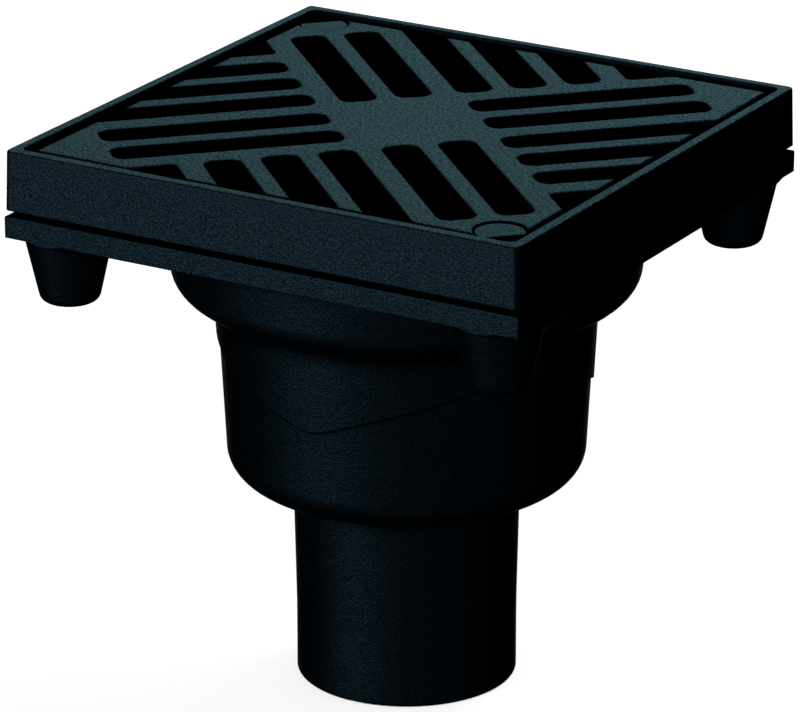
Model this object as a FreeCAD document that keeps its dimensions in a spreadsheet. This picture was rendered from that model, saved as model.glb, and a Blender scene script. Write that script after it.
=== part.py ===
import FreeCAD, Part
import os
from math import pi
import Sketcher
from FreeCAD import Placement, Rotation, Vector

# Parking deck drain of cast iron, in millimetres.
# The origin is the centre of the outlet's lower end, and +Z points up to the deck.
# From the bottom: outlet, pot, bowl, flange with four screw bosses, gasket, clamping frame, grate.

SIZES = [
    # outlet spigot
    ("outlet_length", 105, "outlet, from its end to the pot's underside"),
    ("outlet_radius", 55, "outside of the straight end, which takes the pipe coupling"),
    ("outlet_straight", 35, "length of the straight end"),
    ("outlet_draft", 1.5, "widening of the outlet from its straight end to the pot"),
    ("outlet_edge", 1.2, "rounding of the outlet's lower edge"),
    ("outlet_root_round", 6, "hollow rounding between outlet and pot"),
    # pot
    ("pot_depth", 97, "pot, from its underside to the bowl's underside"),
    ("pot_draft", 5.1, "widening of the pot from its underside to the bowl"),
    ("pot_round_share", 0.5, "rounding of the pot's lower edge, as a share of its step to the outlet"),
    ("band_thickness", 1.4, "thickening round the upper pot"),
    ("band_low", 48, "lobes of the thickening, from the bowl's underside to their tips"),
    ("band_high", 20, "thickening between two lobes, from the bowl's underside"),
    ("band_tip_round", 22, "rounding of the lobes' tips"),
    ("band_root_round", 4, "hollow rounding between the thickening and the bowl"),
    # bowl
    ("bowl_depth", 42, "bowl, from its underside to the flange's underside"),
    ("bowl_setback", 21.9, "bowl at the flange, in from the frame's sides"),
    ("bowl_draft", 3.2, "widening of the bowl from its underside to the flange"),
    ("bowl_shelf", 21.4, "step from the pot out to the bowl, at the bowl's underside"),
    ("bowl_round", 14.4, "rounding of the bowl's lower edge"),
    ("bowl_root_round", 3, "hollow rounding between bowl and flange"),
    ("wall", 6, "wall of outlet, pot and bowl"),
    # flange and its bosses
    ("flange_spread", 0.6, "flange beyond the frame's top on each side"),
    ("flange_thickness", 11, "thickness of the flange"),
    ("flange_edge", 0.8, "rounding of the flange's upper edges"),
    ("boss_height", 34.3, "screw bosses under the flange"),
    ("boss_root_radius", 21.9, "boss at the flange"),
    ("boss_tip_radius", 14.2, "boss at its lower end"),
    ("boss_tip_round", 5, "rounding of the boss's lower edge"),
    ("boss_flare", 2, "height and spread of the boss's flare at the flange"),
    # gasket
    ("gasket_thickness", 3, "gasket, which sets the gap between flange and frame"),
    ("gasket_inset", 9, "gasket's outer edge, in from the frame's side"),
    # clamping frame
    ("frame_side", 280, "side of the frame at its top"),
    ("frame_spread", 0.7, "frame's foot beyond its top on each side"),
    ("frame_height", 30, "height of the frame"),
    ("frame_corner", 3, "rounding of the frame's upright corners"),
    ("rim_width", 5.8, "width of the rim round the grate"),
    ("rim_edge", 1.4, "rounding of the rim's edges"),
    ("well_corner", 4, "rounding of the grate well's upright corners"),
    ("seat_width", 10, "ledge that the grate lies on"),
    ("clamp_plate", 8, "thickness of the frame's clamping plate"),
    ("gusset_reach", 16, "corner gussets, from the screw's axis towards the middle"),
    # clamp screws
    ("screw_inset", 21.4, "screw axes, in from the frame's sides"),
    ("screw_radius", 5, "radius of the screw's shank"),
    ("screw_length", 40, "length of the screw under its head"),
    ("screw_head_radius", 8, "radius of the screw's head"),
    ("screw_head_height", 10, "height of the screw's head"),
    ("socket_flats", 8, "hexagon socket, across its flats"),
    ("socket_depth", 5, "depth of the hexagon socket"),
    ("screw_head_drop", 3.5, "top of the screw's head below the grate's seat"),
    ("screw_clearance", 0.5, "gap round the shank in frame and gasket"),
    ("thread_clearance", 0.1, "gap round the shank in the boss"),
    ("head_clearance", 1, "gap round the head in its counterbore"),
    ("tap_spare", 4, "boss hole beyond the screw's end"),
    # grate
    ("grate_gap", 5.2, "gap between grate and rim"),
    ("grate_recess", 1.5, "grate's top below the rim"),
    ("grate_edge_thickness", 10, "grate where it lies on its seat"),
    ("rib_floor_gap", 1.5, "gap between the ribs and the clamping plate"),
    ("rib_clearance", 3, "gap between the ribs and the seat's inner side"),
    ("rib_corner_gap", 5.7, "gap between the ribs and the corner gussets"),
    ("bar_width", 10, "bar between two slots"),
    ("rib_width", 13, "four main ribs that cross round the middle"),
    ("slot_margin", 33.6, "closed slots' outer end, in from the grate's corner"),
    ("notch_reach", 59.4, "notch's inner side, in from the grate's corner"),
    ("slot_round", 6, "rounding of the slots' corners"),
    ("notch_round", 3, "rounding of the notches' inner corner"),
    ("grate_edge", 0.9, "rounding of the grate's upper edges"),
    # locking plugs
    ("plug_radius", 12, "radius of the plug's head"),
    ("plug_recess", 0.9, "plug's top below the grate's top"),
    ("plug_head", 5, "thickness of the plug's head"),
    ("plug_stem_radius", 8.7, "radius of the plug's stem"),
    ("plug_screw_gap", 0.5, "gap between the plug's stem and the screw's head"),
    ("plug_flat", 5.9, "flat towards the frame's corner, from the plug's axis"),
    ("plug_gap", 0.8, "gap round the plug's head"),
    ("stem_gap", 0.5, "gap round the plug's stem in the grate"),
    ("plug_edge", 0.5, "rounding of the plug's upper edge"),
]

doc = FreeCAD.newDocument("ParkingDeckDrain")
sheet = doc.addObject("Spreadsheet::Sheet", "Sizes")
for row, (alias, value, meaning) in enumerate(SIZES, start=1):
    sheet.set(f"A{row}", str(value))
    sheet.setAlias(f"A{row}", alias)
    sheet.set(f"B{row}", meaning)
doc.recompute()

# Levels, places and radii that more than one step uses
POT_BASE = "Sizes.outlet_length"
BOWL_BASE = f"({POT_BASE} + Sizes.pot_depth)"
FLANGE_BASE = f"({BOWL_BASE} + Sizes.bowl_depth)"
FLANGE_TOP = f"({FLANGE_BASE} + Sizes.flange_thickness)"
FRAME_BASE = f"({FLANGE_TOP} + Sizes.gasket_thickness)"
GRATE_TOP = f"({FRAME_BASE} + Sizes.frame_height - Sizes.grate_recess)"
SEAT_HEIGHT = "(Sizes.frame_height - Sizes.grate_recess - Sizes.grate_edge_thickness)"
WELL_HALF = "(Sizes.frame_side / 2 - Sizes.rim_width)"
SEAT_HALF = f"({WELL_HALF} - Sizes.seat_width)"
FLANGE_HALF = "(Sizes.frame_side / 2 + Sizes.flange_spread)"
SCREW_PLACE = "(Sizes.frame_side / 2 - Sizes.screw_inset)"
SCREW_DIAGONAL = f"({SCREW_PLACE} * sqrt(2))"
SCREW_FLOOR = f"({SEAT_HEIGHT} - Sizes.screw_head_drop - Sizes.screw_head_height)"
COUNTERBORE_RADIUS = "(Sizes.screw_head_radius + Sizes.head_clearance)"
OUTLET_ROOT_RADIUS = "(Sizes.outlet_radius + Sizes.outlet_draft)"
BOWL_TOP_RADIUS = "(Sizes.frame_side / 2 - Sizes.bowl_setback)"
BOWL_BASE_RADIUS = f"({BOWL_TOP_RADIUS} - Sizes.bowl_draft)"
POT_TOP_RADIUS = f"({BOWL_BASE_RADIUS} - Sizes.bowl_shelf)"
POT_BASE_RADIUS = f"({POT_TOP_RADIUS} - Sizes.pot_draft)"
POT_ROUND = f"(Sizes.pot_round_share * ({POT_BASE_RADIUS} - {OUTLET_ROOT_RADIUS}))"
INLET_RADIUS = f"({BOWL_TOP_RADIUS} - Sizes.wall)"
HALF_DIAGONAL = f"(({WELL_HALF} - Sizes.grate_gap) * sqrt(2))"
RIB_DROP = f"({SEAT_HEIGHT} - Sizes.clamp_plate - Sizes.rib_floor_gap)"

# From the middle to the notch: four slots, two and a half bars and two ribs
SLOT_WIDTH = f"(({HALF_DIAGONAL} - Sizes.notch_reach - 2.5 * Sizes.bar_width - 2 * Sizes.rib_width) / 4)"
SLOT_START = f"(Sizes.bar_width / 2 + {SLOT_WIDTH} + Sizes.rib_width)"

TOUCH = 1e-4


def number(expression):
    """Value of an expression on the sheet's cells."""
    return float(sheet.evalExpression(expression))


def origin_feature(body, role):
    """One of the body's own origin planes or axes."""
    return next(item for item in body.Origin.OriginFeatures if item.Role == role)


def new_body(name, height="0", turn=0):
    """Body with its local floor at the given height, turned about Z by the given degrees."""
    body = doc.addObject("PartDesign::Body", name)
    body.Label = name
    body.Placement = Placement(Vector(0, 0, number(height)), Rotation(Vector(0, 0, 1), turn))
    body.setExpression("Placement.Base.z", height)
    return body


def new_sketch(body, name, plane="XY_Plane", height="0"):
    """Sketch on one of the body's origin planes, lifted along the plane's normal."""
    sketch = body.newObject("Sketcher::SketchObject", name)
    sketch.AttachmentSupport = [(origin_feature(body, plane), "")]
    sketch.MapMode = "FlatFace"
    sketch.setExpression("AttachmentOffset.Base.z", height)
    return sketch


def bind_point(sketch, element, position, x, y):
    """Hold a point of the sketch at x and y, each an expression."""
    for kind, axis, expression in (("DistanceX", -2, x), ("DistanceY", -1, y)):
        if expression == "0":
            sketch.addConstraint(Sketcher.Constraint("PointOnObject", element, position, axis))
        else:
            index = sketch.addConstraint(
                Sketcher.Constraint(kind, -1, 1, element, position, number(expression)))
            sketch.setExpression(f"Constraints[{index}]", expression)


def draw_outline(sketch, corners):
    """Closed outline of straight lines through corners given as pairs of expressions."""
    places = [Vector(number(x), number(y), 0) for x, y in corners]
    first = sketch.GeometryCount
    count = len(corners)
    for i in range(count):
        sketch.addGeometry(Part.LineSegment(places[i], places[(i + 1) % count]))
    for i in range(count):
        following = first + (i + 1) % count
        sketch.addConstraint(Sketcher.Constraint("Coincident", first + i, 2, following, 1))
        bind_point(sketch, first + i, 1, *corners[i])


def draw_rectangle(sketch, left, right, low, high):
    """Upright rectangle between four expressions."""
    draw_outline(sketch, [(left, low), (right, low), (right, high), (left, high)])


def draw_slot(sketch, left, right, low, high, radius, rounded):
    """Upright rectangle with the named corners rounded: low_left, low_right, high_right, high_left."""
    corners = [
        ("low_left", left, low, "+", "+"),
        ("low_right", right, low, "-", "+"),
        ("high_right", right, high, "-", "-"),
        ("high_left", left, high, "+", "-"),
    ]
    size = number(radius)
    arrivals = []
    departures = []
    arcs = {}
    for turn, (name, x, y, x_sign, y_sign) in enumerate(corners, start=2):
        if name not in rounded:
            arrivals.append(Vector(number(x), number(y), 0))
            departures.append(arrivals[-1])
            continue
        centre = (f"{x} {x_sign} {radius}", f"{y} {y_sign} {radius}")
        circle = Part.Circle(Vector(number(centre[0]), number(centre[1]), 0), Vector(0, 0, 1), size)
        arc = Part.ArcOfCircle(circle, turn * pi / 2, (turn + 1) * pi / 2)
        arcs[name] = sketch.addGeometry(arc)
        bind_point(sketch, arcs[name], 3, *centre)
        index = sketch.addConstraint(Sketcher.Constraint("Radius", arcs[name], size))
        sketch.setExpression(f"Constraints[{index}]", radius)
        arrivals.append(arc.StartPoint)
        departures.append(arc.EndPoint)
    sides = [sketch.addGeometry(Part.LineSegment(departures[i], arrivals[(i + 1) % 4])) for i in range(4)]
    for i, (name, x, y, x_sign, y_sign) in enumerate(corners):
        if name in rounded:
            sketch.addConstraint(Sketcher.Constraint("Tangent", sides[i - 1], 2, arcs[name], 1))
            sketch.addConstraint(Sketcher.Constraint("Tangent", arcs[name], 2, sides[i], 1))
        else:
            sketch.addConstraint(Sketcher.Constraint("Coincident", sides[i - 1], 2, sides[i], 1))
            bind_point(sketch, sides[i], 1, x, y)


def draw_square(sketch, half):
    """Square about the middle."""
    draw_rectangle(sketch, f"-{half}", half, f"-{half}", half)


def draw_circle(sketch, x, y, radius):
    """Circle about the point x, y."""
    circle = Part.Circle(Vector(number(x), number(y), 0), Vector(0, 0, 1), number(radius))
    element = sketch.addGeometry(circle)
    bind_point(sketch, element, 3, x, y)
    index = sketch.addConstraint(Sketcher.Constraint("Radius", element, number(radius)))
    sketch.setExpression(f"Constraints[{index}]", radius)


def extrude(body, kind, name, sketch, length, downwards=False):
    """Pad or Pocket of a sketch. A Pad rises and a Pocket cuts down unless it is turned round."""
    feature = body.newObject(f"PartDesign::{kind}", name)
    feature.Profile = sketch
    feature.Reversed = downwards
    feature.setExpression("Length", length)
    doc.recompute()
    return feature


def revolve(body, kind, name, sketch):
    """Revolution or Groove of a sketch about its upright axis."""
    feature = body.newObject(f"PartDesign::{kind}", name)
    feature.Profile = sketch
    feature.ReferenceAxis = (sketch, ["V_Axis"])
    feature.Angle = 360
    doc.recompute()
    return feature


def add_cone(body, name, height, length, low_radius, high_radius):
    """Cone on a screw's axis, with its lower end at the given height."""
    cone = body.newObject("PartDesign::AdditiveCone", name)
    cone.AttachmentSupport = [(origin_feature(body, "XY_Plane"), "")]
    cone.MapMode = "FlatFace"
    cone.setExpression("AttachmentOffset.Base.x", SCREW_PLACE)
    cone.setExpression("AttachmentOffset.Base.y", SCREW_PLACE)
    cone.setExpression("AttachmentOffset.Base.z", height)
    cone.setExpression("Radius1", low_radius)
    cone.setExpression("Radius2", high_radius)
    cone.setExpression("Height", length)
    doc.recompute()
    return cone


def repeat_round(body, name, features, count):
    """Copies of features, evenly spaced about the Z axis."""
    pattern = body.newObject("PartDesign::PolarPattern", name)
    pattern.Originals = features
    pattern.Axis = (origin_feature(body, "Z_Axis"), [""])
    pattern.Angle = 360
    pattern.Occurrences = count
    body.Tip = pattern
    doc.recompute()
    return pattern


def round_edges(body, name, radius, wanted):
    """Fillet on each edge of the body's last feature that the test picks."""
    base = body.Tip
    local = base.Shape
    names = [f"Edge{i}" for i, edge in enumerate(local.Edges, start=1) if wanted(edge)]
    if not names:
        raise RuntimeError(f"no edge found for {name}")
    fillet = body.newObject("PartDesign::Fillet", name)
    fillet.Base = (base, names)
    fillet.setExpression("Radius", radius)
    doc.recompute()
    return fillet


def ring_at(radius, height):
    """Test for full circles about Z with this radius at this height."""
    level = number(height)
    size = number(radius)

    def test(edge):
        if edge.Curve.TypeId != "Part::GeomCircle":
            return False
        centre = edge.Curve.Center
        return (abs(centre.z - level) < TOUCH and abs(edge.Curve.Radius - size) < TOUCH
                and abs(centre.x) + abs(centre.y) < TOUCH)

    return test


def lies_at(height):
    """Test for edges that lie flat at this height."""
    level = number(height)

    def test(edge):
        box = edge.BoundBox
        return abs(box.ZMin - level) < TOUCH and abs(box.ZMax - level) < TOUCH

    return test


def make_drain_body():
    """Casting from the outlet up to the square flange, hollow inside, with its screw bosses."""
    body = new_body("drain_body")

    # Thickening round the upper pot: a ring whose lower edge is then cut to three lobes
    band_top = f"({POT_TOP_RADIUS} + Sizes.band_thickness)"
    band_foot = f"({band_top} - Sizes.band_low * Sizes.pot_draft / Sizes.pot_depth)"
    tip_level = f"({BOWL_BASE} - Sizes.band_low)"
    sketch = new_sketch(body, "band_section", "XZ_Plane")
    draw_outline(sketch, [("0", tip_level), (band_foot, tip_level), (band_top, BOWL_BASE), ("0", BOWL_BASE)])
    revolve(body, "Revolution", "band", sketch)

    lobe_half = f"({band_top} * sin(60 deg))"
    high_level = f"({BOWL_BASE} - Sizes.band_high)"
    cuts = []
    for name, side in (("lobe_flank_left", f"-{lobe_half}"), ("lobe_flank_right", lobe_half)):
        sketch = new_sketch(body, f"{name}_outline", "XZ_Plane")
        draw_outline(sketch, [("0", tip_level), (side, tip_level), (side, high_level)])
        cuts.append(extrude(body, "Pocket", name, sketch, f"2 * {band_top}", downwards=True))
    repeat_round(body, "lobes", cuts, 3)

    def is_lobe_tip(edge):
        return edge.Curve.TypeId == "Part::GeomLine" and lies_at(tip_level)(edge)

    round_edges(body, "lobe_tips", "Sizes.band_tip_round", is_lobe_tip)

    # Vessel: outlet, pot and bowl turned about one axis
    sketch = new_sketch(body, "vessel_section", "XZ_Plane")
    draw_outline(sketch, [
        ("0", "0"),
        ("Sizes.outlet_radius", "0"),
        ("Sizes.outlet_radius", "Sizes.outlet_straight"),
        (OUTLET_ROOT_RADIUS, POT_BASE),
        (POT_BASE_RADIUS, POT_BASE),
        (POT_TOP_RADIUS, BOWL_BASE),
        (BOWL_BASE_RADIUS, BOWL_BASE),
        (BOWL_TOP_RADIUS, FLANGE_BASE),
        ("0", FLANGE_BASE),
    ])
    revolve(body, "Revolution", "vessel", sketch)

    # Flange
    sketch = new_sketch(body, "flange_outline", height=FLANGE_BASE)
    draw_square(sketch, FLANGE_HALF)
    extrude(body, "Pad", "flange", sketch, "Sizes.flange_thickness")

    # Inside
    sketch = new_sketch(body, "cavity_section", "XZ_Plane")
    bore = "(Sizes.outlet_radius - Sizes.wall)"
    draw_outline(sketch, [
        ("0", "0"),
        (bore, "0"),
        (bore, f"{POT_BASE} + Sizes.wall"),
        (f"{POT_BASE_RADIUS} - Sizes.wall", f"{POT_BASE} + Sizes.wall"),
        (f"{POT_TOP_RADIUS} - Sizes.wall", f"{BOWL_BASE} + Sizes.wall"),
        (f"{BOWL_BASE_RADIUS} - Sizes.wall", f"{BOWL_BASE} + Sizes.wall"),
        (INLET_RADIUS, FLANGE_TOP),
        ("0", FLANGE_TOP),
    ])
    revolve(body, "Groove", "cavity", sketch)
    round_edges(body, "pot_inner_edge", f"{POT_ROUND} - Sizes.wall",
                ring_at(f"{POT_BASE_RADIUS} - Sizes.wall", f"{POT_BASE} + Sizes.wall"))
    round_edges(body, "bowl_inner_edge", "Sizes.bowl_round - Sizes.wall",
                ring_at(f"{BOWL_BASE_RADIUS} - Sizes.wall", f"{BOWL_BASE} + Sizes.wall"))

    # Outer edges of the vessel
    round_edges(body, "bowl_edge", "Sizes.bowl_round", ring_at(BOWL_BASE_RADIUS, BOWL_BASE))
    round_edges(body, "pot_edge", POT_ROUND, ring_at(POT_BASE_RADIUS, POT_BASE))
    round_edges(body, "outlet_root", "Sizes.outlet_root_round", ring_at(OUTLET_ROOT_RADIUS, POT_BASE))
    round_edges(body, "band_root", "Sizes.band_root_round", ring_at(band_top, BOWL_BASE))

    # Screw bosses, each flaring out at the flange and trimmed flush with the flange's sides
    taper = "(Sizes.boss_root_radius - Sizes.boss_tip_radius) / Sizes.boss_height"
    boss = add_cone(body, "boss", f"{FLANGE_BASE} - Sizes.boss_height", "Sizes.boss_height",
                    "Sizes.boss_tip_radius", "Sizes.boss_root_radius")
    flare = add_cone(body, "boss_flare", f"{FLANGE_BASE} - Sizes.boss_flare", "Sizes.boss_flare",
                     f"Sizes.boss_root_radius - Sizes.boss_flare * {taper}",
                     "Sizes.boss_root_radius + Sizes.boss_flare")
    repeat_round(body, "bosses", [boss, flare], 4)
    round_edges(body, "boss_tips", "Sizes.boss_tip_round", lies_at(f"{FLANGE_BASE} - Sizes.boss_height"))
    sketch = new_sketch(body, "trim_outline", height=FLANGE_BASE)
    draw_square(sketch, FLANGE_HALF)
    draw_square(sketch, f"({FLANGE_HALF} + Sizes.boss_root_radius)")
    extrude(body, "Pocket", "boss_trim", sketch, "Sizes.boss_height")
    round_edges(body, "bowl_root", "Sizes.bowl_root_round", ring_at(BOWL_TOP_RADIUS, FLANGE_BASE))

    # Threaded holes for the clamp screws
    sketch = new_sketch(body, "screw_hole_outline", height=FLANGE_TOP)
    draw_circle(sketch, SCREW_PLACE, SCREW_PLACE, "Sizes.screw_radius + Sizes.thread_clearance")
    depth = f"Sizes.screw_length - {SCREW_FLOOR} - Sizes.gasket_thickness + Sizes.tap_spare"
    hole = extrude(body, "Pocket", "screw_hole", sketch, depth)
    repeat_round(body, "screw_holes", [hole], 4)

    # Broken edges
    def is_flange_edge(edge):
        return lies_at(FLANGE_TOP)(edge) and edge.Curve.TypeId == "Part::GeomLine"

    round_edges(body, "flange_edges", "Sizes.flange_edge", is_flange_edge)
    round_edges(body, "outlet_end", "Sizes.outlet_edge", ring_at("Sizes.outlet_radius", "0"))
    return body


def make_flange_gasket():
    """Flat rubber ring between flange and frame, with a hole for each clamp screw."""
    body = new_body("flange_gasket", FLANGE_TOP)
    sketch = new_sketch(body, "sheet_outline")
    draw_square(sketch, "(Sizes.frame_side / 2 - Sizes.gasket_inset)")
    draw_circle(sketch, "0", "0", INLET_RADIUS)
    for x in (SCREW_PLACE, f"-{SCREW_PLACE}"):
        for y in (SCREW_PLACE, f"-{SCREW_PLACE}"):
            draw_circle(sketch, x, y, "Sizes.screw_radius + Sizes.screw_clearance")
    extrude(body, "Pad", "sheet", sketch, "Sizes.gasket_thickness")
    return body


def make_clamping_frame():
    """Square casting that clamps the gasket and holds the grate in its well."""
    body = new_body("clamping_frame", FRAME_BASE)
    sketch = new_sketch(body, "foot_outline")
    draw_square(sketch, "(Sizes.frame_side / 2 + Sizes.frame_spread)")
    block = extrude(body, "Pad", "block", sketch, "Sizes.frame_height")
    block.setExpression("TaperAngle", "-atan(Sizes.frame_spread / Sizes.frame_height)")
    doc.recompute()

    def is_upright(edge):
        return edge.BoundBox.ZLength > number("Sizes.frame_height") / 2

    round_edges(body, "corners", "Sizes.frame_corner", is_upright)

    # Well for the grate, down to its seat
    sketch = new_sketch(body, "well_outline", height="Sizes.frame_height")
    draw_square(sketch, WELL_HALF)
    extrude(body, "Pocket", "well", sketch, f"Sizes.frame_height - {SEAT_HEIGHT}")
    well_half = number(WELL_HALF)

    def is_well_corner(edge):
        box = edge.BoundBox
        upright = box.XLength < TOUCH and box.YLength < TOUCH
        return upright and abs(abs(box.Center.x) - well_half) < TOUCH

    round_edges(body, "well_corners", "Sizes.well_corner", is_well_corner)

    # Space inside the seat, with a gusset left in each corner for its screw
    gusset = f"({SCREW_DIAGONAL} - Sizes.gusset_reach) * sqrt(2) - {SEAT_HALF}"
    sketch = new_sketch(body, "seat_outline", height=SEAT_HEIGHT)
    draw_outline(sketch, [
        (SEAT_HALF, f"({gusset})"), (f"({gusset})", SEAT_HALF),
        (f"-({gusset})", SEAT_HALF), (f"-{SEAT_HALF}", f"({gusset})"),
        (f"-{SEAT_HALF}", f"-({gusset})"), (f"-({gusset})", f"-{SEAT_HALF}"),
        (f"({gusset})", f"-{SEAT_HALF}"), (SEAT_HALF, f"-({gusset})"),
    ])
    extrude(body, "Pocket", "seat", sketch, f"{SEAT_HEIGHT} - Sizes.clamp_plate")

    # Inlet and screw holes
    sketch = new_sketch(body, "inlet_outline", height="Sizes.clamp_plate")
    draw_circle(sketch, "0", "0", INLET_RADIUS)
    extrude(body, "Pocket", "inlet", sketch, "Sizes.clamp_plate")
    sketch = new_sketch(body, "counterbore_outline", height=SEAT_HEIGHT)
    draw_circle(sketch, SCREW_PLACE, SCREW_PLACE, COUNTERBORE_RADIUS)
    counterbore = extrude(body, "Pocket", "counterbore", sketch, f"{SEAT_HEIGHT} - {SCREW_FLOOR}")
    sketch = new_sketch(body, "shank_outline", height=SCREW_FLOOR)
    draw_circle(sketch, SCREW_PLACE, SCREW_PLACE, "Sizes.screw_radius + Sizes.screw_clearance")
    shank = extrude(body, "Pocket", "shank_hole", sketch, SCREW_FLOOR)
    repeat_round(body, "screw_places", [counterbore, shank], 4)

    round_edges(body, "rim_edges", "Sizes.rim_edge", lies_at("Sizes.frame_height"))
    return body


def make_grate():
    """Square grate. Turned by 45 degrees, so that its slots run along its own X and Y."""
    body = new_body("grate", GRATE_TOP, turn=45)
    sketch = new_sketch(body, "plate_outline")
    draw_outline(sketch, [(HALF_DIAGONAL, "0"), ("0", HALF_DIAGONAL),
                          (f"-{HALF_DIAGONAL}", "0"), ("0", f"-{HALF_DIAGONAL}")])
    extrude(body, "Pad", "plate", sketch, "Sizes.grate_edge_thickness", downwards=True)

    # Deeper ribs inside the frame's seat, clear of its corner gussets
    far = f"({SCREW_DIAGONAL} - Sizes.gusset_reach - Sizes.rib_corner_gap)"
    near = f"(({SEAT_HALF} - Sizes.rib_clearance) * sqrt(2) - {far})"
    sketch = new_sketch(body, "rib_outline", height="-Sizes.grate_edge_thickness")
    draw_outline(sketch, [
        (far, near), (near, far), (f"-{near}", far), (f"-{far}", near),
        (f"-{far}", f"-{near}"), (f"-{near}", f"-{far}"), (near, f"-{far}"), (far, f"-{near}"),
    ])
    extrude(body, "Pad", "ribs", sketch, RIB_DROP, downwards=True)

    # One quarter of the slots: two closed ones towards a corner, three open ones and a notch
    depth = f"Sizes.grate_edge_thickness + {RIB_DROP}"
    first = "Sizes.bar_width / 2"
    outer_end = f"{HALF_DIAGONAL} - Sizes.slot_margin"
    sketch = new_sketch(body, "slot_outlines")
    inner_end = ("low_left", "low_right")
    both_ends = inner_end + ("high_right", "high_left")
    for left, right in ((first, f"{first} + {SLOT_WIDTH}"), (f"-{first} - {SLOT_WIDTH}", f"-{first}")):
        draw_slot(sketch, left, right, SLOT_START, outer_end, "Sizes.slot_round", both_ends)
    for step in range(3):
        left = f"{SLOT_START} + {step} * ({SLOT_WIDTH} + Sizes.bar_width)"
        right = f"{left} + {SLOT_WIDTH}"
        draw_slot(sketch, left, right, SLOT_START, HALF_DIAGONAL, "Sizes.slot_round", inner_end)
    notch = f"{HALF_DIAGONAL} - Sizes.notch_reach"
    draw_slot(sketch, notch, HALF_DIAGONAL, SLOT_START, HALF_DIAGONAL, "Sizes.notch_round", ("low_left",))
    quarter = extrude(body, "Pocket", "slots", sketch, depth)
    repeat_round(body, "all_slots", [quarter], 4)
    round_edges(body, "upper_edges", "Sizes.grate_edge", lies_at("0"))

    # Front and back corners, cut off and hollowed for the locking plugs
    sketch = new_sketch(body, "corner_cut_outline")
    plug_flat = f"({SCREW_DIAGONAL} + Sizes.plug_flat)"
    draw_rectangle(sketch, f"-{HALF_DIAGONAL} / 2", f"{HALF_DIAGONAL} / 2", plug_flat, HALF_DIAGONAL)
    corner = extrude(body, "Pocket", "corner_cut", sketch, "Sizes.grate_edge_thickness")
    sketch = new_sketch(body, "plug_pocket_outline")
    draw_circle(sketch, "0", SCREW_DIAGONAL, "Sizes.plug_radius + Sizes.plug_gap")
    pocket = extrude(body, "Pocket", "plug_pocket", sketch, "Sizes.plug_recess + Sizes.plug_head")
    sketch = new_sketch(body, "stem_hole_outline")
    draw_circle(sketch, "0", SCREW_DIAGONAL, "Sizes.plug_stem_radius + Sizes.stem_gap")
    stem = extrude(body, "Pocket", "stem_hole", sketch, "Sizes.grate_edge_thickness")
    repeat_round(body, "plug_corners", [corner, pocket, stem], 2)
    return body


def make_clamp_screws():
    """Four socket head screws, from the frame's corners into the body's bosses."""
    body = new_body("clamp_screws", f"{FRAME_BASE} + {SCREW_FLOOR}", turn=45)
    sketch = new_sketch(body, "head_outline")
    draw_circle(sketch, SCREW_DIAGONAL, "0", "Sizes.screw_head_radius")
    head = extrude(body, "Pad", "head", sketch, "Sizes.screw_head_height")
    sketch = new_sketch(body, "shank_outline")
    draw_circle(sketch, SCREW_DIAGONAL, "0", "Sizes.screw_radius")
    shank = extrude(body, "Pad", "shank", sketch, "Sizes.screw_length", downwards=True)
    sketch = new_sketch(body, "socket_outline", height="Sizes.screw_head_height")
    corner = "Sizes.socket_flats / sqrt(3)"
    draw_outline(sketch, [
        (f"{SCREW_DIAGONAL} + {corner} * cos({turn} deg)", f"{corner} * sin({turn} deg)")
        for turn in range(30, 360, 60)])
    socket = extrude(body, "Pocket", "socket", sketch, "Sizes.socket_depth")
    repeat_round(body, "screws", [head, shank, socket], 4)
    return body


def make_locking_plugs():
    """Two round plugs with a flat, in the grate's front and back corners."""
    body = new_body("locking_plugs", f"{GRATE_TOP} - Sizes.plug_recess", turn=45)
    sketch = new_sketch(body, "head_outline")
    draw_circle(sketch, "0", SCREW_DIAGONAL, "Sizes.plug_radius")
    head = extrude(body, "Pad", "head", sketch, "Sizes.plug_head", downwards=True)
    sketch = new_sketch(body, "stem_outline")
    draw_circle(sketch, "0", SCREW_DIAGONAL, "Sizes.plug_stem_radius")
    stem_length = ("Sizes.grate_edge_thickness - Sizes.plug_recess"
                   " + Sizes.screw_head_drop - Sizes.plug_screw_gap")
    stem = extrude(body, "Pad", "stem", sketch, stem_length, downwards=True)
    sketch = new_sketch(body, "flat_outline")
    draw_rectangle(sketch, "-Sizes.plug_radius", "Sizes.plug_radius",
                   f"{SCREW_DIAGONAL} + Sizes.plug_flat", f"{SCREW_DIAGONAL} + Sizes.plug_radius")
    flat = extrude(body, "Pocket", "flat", sketch, stem_length)
    repeat_round(body, "plugs", [head, stem, flat], 2)
    round_edges(body, "plug_tops", "Sizes.plug_edge", lies_at("0"))
    return body


pieces = [
    make_drain_body(),
    make_flange_gasket(),
    make_clamping_frame(),
    make_grate(),
    make_clamp_screws(),
    make_locking_plugs(),
]
doc.recompute()

for item in doc.Objects:
    if "Invalid" in item.State or "Error" in item.State:
        raise RuntimeError(f"{item.Label} failed: {item.State}")
for piece in pieces:
    if piece.Shape.isNull() or not piece.Shape.isValid():
        raise RuntimeError(f"{piece.Label} has no valid shape")

os.makedirs("parts", exist_ok=True)
for piece in pieces:
    piece.Shape.exportStep(f"parts/{piece.Label}.step")
    box = piece.Shape.optimalBoundingBox(False, False)
    print(f"{piece.Label}: {len(piece.Shape.Solids)} solids, {piece.Shape.Volume / 1000:.1f} cm3, "
          f"z {box.ZMin:.2f} to {box.ZMax:.2f}")
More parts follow.
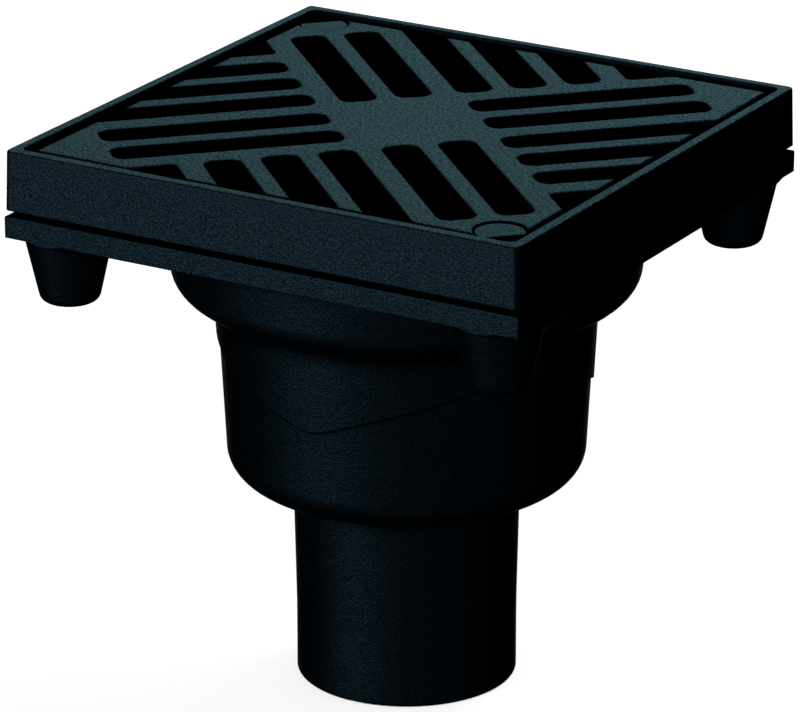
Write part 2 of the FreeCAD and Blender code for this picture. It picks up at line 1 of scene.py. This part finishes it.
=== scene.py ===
# %% [markdown]
# # A parking deck drain of coated cast iron
# The drain is set into a concrete deck so that only its grate and rim stay in sight.
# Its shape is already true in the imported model: a hollow body with a square flange, a gasket,
# a clamping frame, a slotted grate, four screws and two corner plugs.
# It could be modelled again here in polygons, but a second model would drift from the first.
# So this lesson keeps the solids and gives them what iron from a sand mould looks like.

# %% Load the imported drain
import math

import bmesh
import bpy
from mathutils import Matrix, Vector

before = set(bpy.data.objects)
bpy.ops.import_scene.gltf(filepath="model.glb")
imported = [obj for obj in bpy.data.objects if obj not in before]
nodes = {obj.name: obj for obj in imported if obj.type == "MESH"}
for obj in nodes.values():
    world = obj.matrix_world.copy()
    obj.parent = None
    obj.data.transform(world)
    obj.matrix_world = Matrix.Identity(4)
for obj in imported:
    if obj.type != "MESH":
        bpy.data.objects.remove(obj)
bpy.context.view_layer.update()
scene = bpy.context.scene
scene.view_settings.view_transform = "Standard"
for name, node in sorted(nodes.items()):
    print(f"{name}: {len(node.data.polygons)} triangles")

# %% [markdown]
# ## Camera
# The drain stands on its outlet and is seen from a little above, one corner of the frame in front.
# Its upright edges stay almost parallel, so the lens is long and the camera stands far off.
# The angles and the lens come from the frame's four corners. The shift only centres the picture.

# %% Camera
IMAGE_WIDTH = 800
AZIMUTH = math.radians(30.31)
ELEVATION = math.radians(20.40)
DISTANCE = 2.6314
FOCAL_PIXELS = 5338.4
SHIFT_PIXELS = (-6.7, 0.5)
SENSOR_WIDTH = 36.0
FAR_CLIP = 50.0
TARGET = Vector((0.0, 0.0, 0.1645))

away = Vector((
    math.sin(AZIMUTH) * math.cos(ELEVATION),
    -math.cos(AZIMUTH) * math.cos(ELEVATION),
    math.sin(ELEVATION),
))
camera_data = bpy.data.cameras.new("camera")
camera_data.sensor_fit = "HORIZONTAL"
camera_data.sensor_width = SENSOR_WIDTH
camera_data.lens = FOCAL_PIXELS * SENSOR_WIDTH / IMAGE_WIDTH
camera_data.shift_x = SHIFT_PIXELS[0] / IMAGE_WIDTH
camera_data.shift_y = SHIFT_PIXELS[1] / IMAGE_WIDTH
camera_data.clip_end = FAR_CLIP
camera = bpy.data.objects.new("camera", camera_data)
camera.location = TARGET + DISTANCE * away
camera.rotation_euler = (-away).to_track_quat("-Z", "Y").to_euler()
scene.collection.objects.link(camera)
scene.camera = camera
print("camera at", [round(value, 3) for value in camera.location])
print("lens", round(camera_data.lens, 1), "mm")


# %% [markdown]
# ## Tools for materials
# Every finish here is a small node tree. It could be wired by hand in the Shader Editor,
# but then each material would be wired anew. Four helpers do it instead: one adds a node with its
# settings, one maps a value from one range to another, and two start a material or a node group.

# %% Node helpers
def add_node(tree, kind, inputs=None, **settings):
    """Node with its properties set and its inputs given as values or as sockets to link."""
    node = tree.nodes.new(kind)
    for key, value in settings.items():
        setattr(node, key, value)
    for key, value in (inputs or {}).items():
        if isinstance(value, bpy.types.NodeSocket):
            tree.links.new(value, node.inputs[key])
        else:
            node.inputs[key].default_value = value
    return node


def map_range(tree, value, given=(0.0, 1.0), wanted=(0.0, 1.0)):
    """Value moved from the given range to the wanted one, and held inside it."""
    return add_node(tree, "ShaderNodeMapRange", {
        "Value": value, "From Min": given[0], "From Max": given[1],
        "To Min": wanted[0], "To Max": wanted[1]}).outputs["Result"]


# %% Starting points
def start_material(name):
    """Empty material with one Principled shader, which it returns with its tree."""
    material = bpy.data.materials.new(name)
    material.use_nodes = True
    tree = material.node_tree
    tree.nodes.clear()
    shader = add_node(tree, "ShaderNodeBsdfPrincipled")
    add_node(tree, "ShaderNodeOutputMaterial", {"Surface": shader.outputs["BSDF"]})
    return material, tree, shader


def start_group(name, inputs, outputs):
    """Node group with float inputs (name and default) and float outputs."""
    group = bpy.data.node_groups.new(name, "ShaderNodeTree")
    for label, default in inputs:
        socket = group.interface.new_socket(
            label, in_out="INPUT", socket_type="NodeSocketFloat")
        socket.default_value = default
    for label in outputs:
        group.interface.new_socket(label, in_out="OUTPUT", socket_type="NodeSocketFloat")
    entry = add_node(group, "NodeGroupInput")
    leave = add_node(group, "NodeGroupOutput")
    return group, entry.outputs, leave


# %% [markdown]
# ## Sand-cast grain
# The mould's sand leaves grains on every face, a little under a millimetre on the walls and coarser
# on the grate, with low swells of some millimetres under them, and a thin coat follows both.
# An image could show that, but it would need seams. Noise at two sizes on Object coordinates
# has one scale on every piece and runs through the edges, so it is used here.
# A third, broad noise says where a surface is a little paler.

# %% Grain group
GRAIN_SCALE = 1500.0
SWELL_SCALE = 300.0
SWELL_SHARE = 0.5
CLOUD_SCALE = 22.0


def make_cast_grain():
    group, given, leave = start_group(
        "cast_grain", [("Grain Scale", GRAIN_SCALE), ("Swell Scale", SWELL_SCALE)],
        ["Height", "Grain", "Cloud"])
    place = add_node(group, "ShaderNodeTexCoord").outputs["Object"]
    grain = add_node(group, "ShaderNodeTexNoise", {
        "Vector": place, "Scale": given["Grain Scale"], "Detail": 2.0, "Roughness": 0.6})
    swell = add_node(group, "ShaderNodeTexNoise", {
        "Vector": place, "Scale": given["Swell Scale"], "Detail": 2.0, "Roughness": 0.5})
    cloud = add_node(group, "ShaderNodeTexNoise", {
        "Vector": place, "Scale": CLOUD_SCALE, "Detail": 3.0, "Roughness": 0.55})
    height = add_node(group, "ShaderNodeMath", {
        0: swell.outputs["Fac"], 1: SWELL_SHARE, 2: grain.outputs["Fac"]},
        operation="MULTIPLY_ADD")
    group.links.new(height.outputs[0], leave.inputs["Height"])
    group.links.new(grain.outputs["Fac"], leave.inputs["Grain"])
    group.links.new(cloud.outputs["Fac"], leave.inputs["Cloud"])
    return group


cast_grain = make_cast_grain()
outputs = [item.name for item in cast_grain.interface.items_tree if item.in_out == "OUTPUT"]
print("group", cast_grain.name, "puts out", outputs)


# %% [markdown]
# ## Painted sheen on the top faces
# The soft lamp behind the drain lights the grate and the rim. That light is painted into their
# colour, so faces that look up are paler. The mask is how far the surface turns upwards, and it
# counts only near the top of the drain, so the ledges inside stay dark. The normal comes from a Bevel
# node, which rounds it near the edges, so that the pale tone fades before a slot as painted shade on
# the rounded edges.
# Several finishes need the mask, so it is a group too.

# %% Painted sheen group
SHEEN_FROM_HEIGHT = 0.2835
EDGE_RADIUS = 0.001
EDGE_SAMPLES = 6
SHEEN_SLOPE = (0.72, 0.98)


def make_painted_top_sheen():
    group, given, leave = start_group(
        "painted_top_sheen", [("From Height", SHEEN_FROM_HEIGHT), ("Edge Radius", EDGE_RADIUS)], ["Dust"])
    # The mask says where the sheen is painted, and its rounded normal paints shade on the edges.
    rounded = add_node(group, "ShaderNodeBevel", {
        "Radius": given["Edge Radius"]}, samples=EDGE_SAMPLES)
    facing = add_node(group, "ShaderNodeSeparateXYZ", {0: rounded.outputs["Normal"]})
    level = map_range(group, facing.outputs["Z"], SHEEN_SLOPE)
    place = add_node(group, "ShaderNodeSeparateXYZ", {
        0: add_node(group, "ShaderNodeTexCoord").outputs["Object"]})
    high = add_node(group, "ShaderNodeMath", {
        0: place.outputs["Z"], 1: given["From Height"]}, operation="GREATER_THAN")
    painted_sheen = add_node(group, "ShaderNodeMath", {
        0: level, 1: high.outputs[0]}, operation="MULTIPLY")
    group.links.new(painted_sheen.outputs[0], leave.inputs["Dust"])
    return group


painted_top_sheen = make_painted_top_sheen()
print("group", painted_top_sheen.name, "starts at", SHEEN_FROM_HEIGHT, "m")

# %% [markdown]
# ## Coated iron
# The castings are dipped in a blue-black coat that is matt but not dull: a broad, bluish sheen lies
# on faces that send the lamps on, and the rest is nearly black. Paint of that colour alone would
# look grey, so a dark base with a large metallic share gives the sheen its tint, and an edge tint
# of black keeps the rims of round walls from turning white.
# Shade is painted into corners, slots and places under overhangs such as the bowl: an Ambient
# Occlusion node darkens the colour there.

# %% Colour of the iron
IRON_SIDE = (0.0009, 0.0020, 0.0029)
# The paler top colour is a painted sheen: it stands for the rear lamp's light on the grate and the
# rim.
IRON_TOP_SHEEN = (0.0215, 0.0472, 0.0540)
GRAIN_SPAN = (0.3, 0.7)
# Painted shade: the Ambient Occlusion samples, the span of it that counts and how dark it goes.
PAINTED_SHADE_SAMPLES = 12
PAINTED_SHADE_SPAN = (0.78, 0.92)
PAINTED_SHADE_TONE = 0.02


def colour_iron(tree, grain, painted_sheen, shade_reach, speckle):
    """Dark coat with a painted sheen on faces that look up, speckled by the grain, with painted shade
    in corners, slots and under overhangs.
    """
    # Painted sheen: where the mask is full, faces near the top take the paler top colour.
    coat = add_node(tree, "ShaderNodeMix", {
        "Factor": painted_sheen, 6: (*IRON_SIDE, 1.0), 7: (*IRON_TOP_SHEEN, 1.0)}, data_type="RGBA")
    tone = map_range(tree, grain, GRAIN_SPAN, (1.0 - speckle, 1.0 + speckle))
    # Painted shade: Ambient Occlusion darkens the colour in corners, in slots and under the bowl.
    shade_ao = add_node(tree, "ShaderNodeAmbientOcclusion", {
        "Distance": shade_reach}, samples=PAINTED_SHADE_SAMPLES, only_local=True)
    unshaded_part = map_range(tree, shade_ao.outputs["AO"], PAINTED_SHADE_SPAN, (PAINTED_SHADE_TONE, 1.0))
    value = add_node(tree, "ShaderNodeMath", {0: tone, 1: unshaded_part}, operation="MULTIPLY")
    colour = add_node(tree, "ShaderNodeHueSaturation", {
        "Value": value.outputs[0], "Color": coat.outputs[2]})
    return colour.outputs["Color"]


# Prints the dark coat and the paler top colour that is painted for the sheen.
print("iron is", IRON_SIDE, "on its sides and", IRON_TOP_SHEEN, "under dust")

# %% [markdown]
# The grain also makes the gloss uneven and gives the fine relief. A cast edge is never sharp,
# and a second Bevel node under the relief lets edges catch light with the mesh left alone.
# The grate has coarser grain, deeper painted shade in its slots and softer edges than the walls, and
# the plugs finer.

# %% Coated iron material
METAL_SHARE = 0.95
SHEEN_METAL_SHARE = 0.1
GLOSS_SPAN = (0.48, 0.40)
RELIEF_DEPTH = 0.0008


def make_coated_iron(name, shade_reach, grain_scale, speckle, relief, edge_radius):
    material, tree, shader = start_material(name)
    grain = add_node(tree, "ShaderNodeGroup", node_tree=cast_grain)
    grain.inputs["Grain Scale"].default_value = grain_scale
    painted_sheen = add_node(tree, "ShaderNodeGroup", node_tree=painted_top_sheen)
    painted_sheen.inputs["Edge Radius"].default_value = edge_radius

    colour = colour_iron(
        tree, grain.outputs["Grain"], painted_sheen.outputs["Dust"], shade_reach, speckle)
    metal = map_range(tree, painted_sheen.outputs["Dust"], wanted=(METAL_SHARE, SHEEN_METAL_SHARE))
    gloss = map_range(tree, grain.outputs["Grain"], GRAIN_SPAN, GLOSS_SPAN)
    soft_edge = add_node(tree, "ShaderNodeBevel", {"Radius": edge_radius}, samples=EDGE_SAMPLES)
    bump = add_node(tree, "ShaderNodeBump", {
        "Height": grain.outputs["Height"], "Strength": relief, "Distance": RELIEF_DEPTH,
        "Normal": soft_edge.outputs["Normal"]})
    tree.links.new(colour, shader.inputs["Base Color"])
    tree.links.new(metal, shader.inputs["Metallic"])
    tree.links.new(gloss, shader.inputs["Roughness"])
    tree.links.new(bump.outputs["Normal"], shader.inputs["Normal"])
    shader.inputs["Specular IOR Level"].default_value = 0.0
    shader.inputs["Specular Tint"].default_value = (0.0, 0.0, 0.0, 1.0)
    return material


iron = make_coated_iron(
    "coated_iron", shade_reach=0.018, grain_scale=1200.0, speckle=0.7, relief=0.42,
    edge_radius=EDGE_RADIUS)
slotted_iron = make_coated_iron(
    "slotted_iron", shade_reach=0.030, grain_scale=600.0, speckle=0.6, relief=1.0,
    edge_radius=0.0025)
plug_finish = make_coated_iron(
    "plug_plastic", shade_reach=0.004, grain_scale=1500.0, speckle=0.8, relief=0.3,
    edge_radius=EDGE_RADIUS)
print("finishes", iron.name, slotted_iron.name, plug_finish.name)


# %% [markdown]
# ## Rubber and screw steel
# The gasket hardly shows in the gap between flange and frame, and the screws only beside the plugs.
# A plain colour would do at a distance, but both get a finish of their own for closer views:
# sheet rubber with a faint grain, and stainless steel with turning marks, which are noise
# squeezed along the screws' upright axes. Shade is painted on the steel round the sunk screw heads,
# where an Ambient Occlusion node darkens it under the plugs and the grate.

# %% Gasket material
RUBBER_DARK = (0.004, 0.004, 0.0044)
RUBBER_PALE = (0.009, 0.009, 0.0095)
RUBBER_GRAIN_SCALE = 2600.0


def make_rubber():
    material, tree, shader = start_material("gasket_rubber")
    grain = add_node(tree, "ShaderNodeGroup", node_tree=cast_grain)
    grain.inputs["Grain Scale"].default_value = RUBBER_GRAIN_SCALE
    colour = add_node(tree, "ShaderNodeMix", {
        "Factor": grain.outputs["Cloud"], 6: (*RUBBER_DARK, 1.0), 7: (*RUBBER_PALE, 1.0)},
        data_type="RGBA")
    tree.links.new(colour.outputs[2], shader.inputs["Base Color"])
    bump = add_node(tree, "ShaderNodeBump", {
        "Height": grain.outputs["Grain"], "Strength": 0.15, "Distance": 0.0003})
    tree.links.new(bump.outputs["Normal"], shader.inputs["Normal"])
    shader.inputs["Roughness"].default_value = 0.75
    shader.inputs["Specular IOR Level"].default_value = 0.02
    return material


rubber = make_rubber()
print("finish", rubber.name)

# %% Screw material
STEEL_DARK = (0.36, 0.36, 0.35)
STEEL_PALE = (0.52, 0.52, 0.50)
STEEL_GLOSS_SPAN = (0.28, 0.45)
TURNING_SCALE = (120.0, 120.0, 5000.0)
# Painted shade on the screws: how far the Ambient Occlusion looks.
SCREW_SHADE_REACH = 0.02


def make_screw_steel():
    material, tree, shader = start_material("screw_steel")
    place = add_node(tree, "ShaderNodeTexCoord").outputs["Object"]
    squeezed = add_node(tree, "ShaderNodeMapping", {"Vector": place, "Scale": TURNING_SCALE})
    marks = add_node(tree, "ShaderNodeTexNoise", {
        "Vector": squeezed.outputs["Vector"], "Scale": 1.0, "Detail": 3.0})
    colour = add_node(tree, "ShaderNodeMix", {
        "Factor": marks.outputs["Fac"], 6: (*STEEL_DARK, 1.0), 7: (*STEEL_PALE, 1.0)},
        data_type="RGBA")
    # Painted shade: Ambient Occlusion darkens the steel where the plugs and the grate cover it.
    screw_shade = add_node(tree, "ShaderNodeAmbientOcclusion", {
        "Color": colour.outputs[2], "Distance": SCREW_SHADE_REACH}, samples=8)
    tree.links.new(screw_shade.outputs["Color"], shader.inputs["Base Color"])
    gloss = map_range(tree, marks.outputs["Fac"], wanted=STEEL_GLOSS_SPAN)
    tree.links.new(gloss, shader.inputs["Roughness"])
    shader.inputs["Metallic"].default_value = 1.0
    return material


screw_steel = make_screw_steel()
print("finish", screw_steel.name)

# %% [markdown]
# ## Dressing the pieces
# Each piece of the imported drain takes one finish. The meshes stay as they are: only the material
# slot changes, so the solids of the imported model are the ones in the picture.

# %% Give each piece its finish
FINISHES = {
    "drain_body": iron,
    "clamping_frame": iron,
    "grate": slotted_iron,
    "locking_plugs": plug_finish,
    "flange_gasket": rubber,
    "clamp_screws": screw_steel,
}
for name, finish in FINISHES.items():
    nodes[name].data.materials.clear()
    nodes[name].data.materials.append(finish)
    print(f"{name} wears {finish.name}")


# %% [markdown]
# ## Floor and light
# The picture is a plain studio on white. More light would whiten the floor and wash out the iron,
# so the floor and the room are white only for the camera and in gloss and glass. For bounced light
# they are dim, and the iron stays dark from below. The floor still takes the drain's shadow,
# and an Ambient Occlusion node dims its glow inside the outlet, where no light would reach it.

# %% What counts as seen
def seen_directly(tree):
    """1 for rays from the camera and for rays that gloss or glass sends on, otherwise 0."""
    path = add_node(tree, "ShaderNodeLightPath").outputs
    first = add_node(tree, "ShaderNodeMath", {
        0: path["Is Camera Ray"], 1: path["Is Glossy Ray"]}, operation="MAXIMUM")
    second = add_node(tree, "ShaderNodeMath", {
        0: first.outputs[0], 1: path["Is Transmission Ray"]}, operation="MAXIMUM")
    return second.outputs[0]


# %% Floor material
WHITE = (1.0, 1.0, 1.0, 1.0)
FLOOR_PALE = (0.9, 0.9, 0.9, 1.0)
FLOOR_DIM = (0.12, 0.12, 0.12, 1.0)
GLOW_SHARE = 0.9
COVER_REACH = 0.3
COVER_SPAN = (0.1, 0.4)


def make_floor_material():
    material = bpy.data.materials.new("pale_floor")
    material.use_nodes = True
    tree = material.node_tree
    tree.nodes.clear()
    plain = add_node(tree, "ShaderNodeBsdfDiffuse", {"Color": FLOOR_DIM})
    lit = add_node(tree, "ShaderNodeBsdfDiffuse", {"Color": FLOOR_PALE})
    covered = add_node(tree, "ShaderNodeAmbientOcclusion", {"Distance": COVER_REACH}, samples=8)
    open_air = map_range(tree, covered.outputs["AO"], COVER_SPAN)
    glow = add_node(tree, "ShaderNodeEmission", {"Color": WHITE, "Strength": open_air})
    white = add_node(tree, "ShaderNodeMixShader", {
        0: GLOW_SHARE, 1: lit.outputs["BSDF"], 2: glow.outputs["Emission"]})
    surface = add_node(tree, "ShaderNodeMixShader", {
        0: seen_directly(tree), 1: plain.outputs["BSDF"], 2: white.outputs["Shader"]})
    add_node(tree, "ShaderNodeOutputMaterial", {"Surface": surface.outputs["Shader"]})
    return material


# %% Floor
FLOOR_HALF = 6.0


def make_floor():
    mesh = bpy.data.meshes.new("floor")
    sheet = bmesh.new()
    bmesh.ops.create_grid(sheet, x_segments=1, y_segments=1, size=FLOOR_HALF)
    sheet.to_mesh(mesh)
    sheet.free()
    mesh.materials.append(make_floor_material())
    floor = bpy.data.objects.new("floor", mesh)
    scene.collection.objects.link(floor)
    return floor


floor = make_floor()
print("floor", 2 * FLOOR_HALF, "m square")

# %% World
ROOM_LIGHT = 0.05
world = bpy.data.worlds.new("studio")
scene.world = world
world.use_nodes = True
world_tree = world.node_tree
world_tree.nodes.clear()
room = map_range(world_tree, seen_directly(world_tree), wanted=(ROOM_LIGHT, 1.0))
background = add_node(world_tree, "ShaderNodeBackground", {"Color": WHITE, "Strength": room})
add_node(world_tree, "ShaderNodeOutputWorld", {"Surface": background.outputs["Background"]})
print("room light", ROOM_LIGHT)


# %% [markdown]
# ## Lamps
# Dark metal shows a lamp only where it sends that lamp on to the eye, so each lamp has one task.
# A soft lamp high behind the drain lights the grate and the rim. A low, narrow key at the front left
# draws the sheen down the round walls, and the right side stays black.
# A low lamp behind the drain shows its shape from the back.

# %% Lamps
def add_softbox(name, place, width, height, power):
    """Area lamp that looks at the middle of the drain."""
    lamp = bpy.data.lights.new(name, "AREA")
    lamp.shape = "RECTANGLE"
    lamp.size = width
    lamp.size_y = height
    lamp.energy = power
    softbox = bpy.data.objects.new(name, lamp)
    softbox.location = place
    softbox.rotation_euler = (TARGET - Vector(place)).to_track_quat("-Z", "Y").to_euler()
    scene.collection.objects.link(softbox)
    print(name, "at", place, power, "W")


add_softbox("overhead_softbox", (0.35, 1.45, 1.35), width=1.0, height=1.0, power=67.0)
add_softbox("left_softbox", (-0.724, -1.832, 0.25), width=0.45, height=0.4, power=100.0)
add_softbox("back_softbox", (-0.994, 1.701, 0.25), width=0.9, height=0.4, power=80.0)
